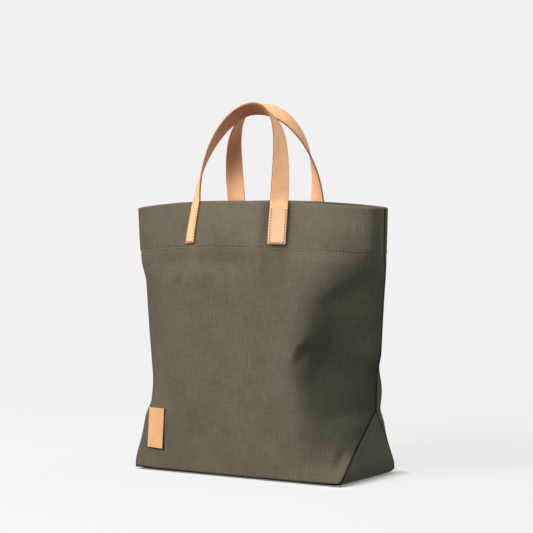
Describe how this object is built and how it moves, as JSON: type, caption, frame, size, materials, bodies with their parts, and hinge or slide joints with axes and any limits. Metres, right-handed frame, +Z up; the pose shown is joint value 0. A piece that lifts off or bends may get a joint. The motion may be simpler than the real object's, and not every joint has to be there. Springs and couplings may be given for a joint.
{
  "type": "weekender bag",
  "caption": "Soft open-topped tote-style weekender in canvas: deep hem, triangular ends, flat base and leather strap handles that swing down over each side.",
  "frame": {"origin": "middle of the base, on the ground", "axes": "+Z up out of the opening; +X along the bag's length, to the right seen from the front; the front, with the label, faces -Y"},
  "size_m": [0.398, 0.1616, 0.5164],
  "materials": {
    "canvas": "olive waxed cotton canvas, matte, with a fine visible weave and worn creases",
    "lining": "the unwaxed inner side of the canvas, matte",
    "tape": "dark cotton binding tape, matte",
    "thread": "light olive sewing thread, matte",
    "strap_thread": "dark olive sewing thread sunk in the leather, matte",
    "strap_leather": "smooth vegetable-tanned leather, soft sheen, with painted edges",
    "label_leather": "smooth vegetable-tanned leather with a pressed border",
    "board": "dark stiffening board, matte"
  },
  "bodies": {
    "bag": {"front_panel": "canvas", "back_panel": "canvas", "base_panel": "canvas", "base_board": "board", "front_hem_facing": "lining", "back_hem_facing": "lining", "front_hem_stitching": "thread", "back_hem_stitching": "thread", "left_side_seam_tape": "tape", "right_side_seam_tape": "tape", "left_end_seam_tape": "tape", "right_end_seam_tape": "tape", "front_left_strap_tab": "strap_leather", "front_right_strap_tab": "strap_leather", "back_left_strap_tab": "strap_leather", "back_right_strap_tab": "strap_leather", "front_left_tab_stitching": "strap_thread", "front_right_tab_stitching": "strap_thread", "back_left_tab_stitching": "strap_thread", "back_right_tab_stitching": "strap_thread", "leather_label": "label_leather", "inside_pocket": "lining"},
    "front_handle": {"front_handle": "strap_leather"},
    "back_handle": {"back_handle": "strap_leather"}
  },
  "joints": [
    {"name": "front_handle_swing", "type": "hinge", "parent": "bag", "child": "front_handle", "pos_m": [0, -0.0509, 0.38867], "axis": [1, 0, 0], "range_deg": [0, 95]},
    {"name": "back_handle_swing", "type": "hinge", "parent": "bag", "child": "back_handle", "pos_m": [0, 0.05068, 0.38867], "axis": [-1, 0, 0], "range_deg": [0, 105]}
  ]
}
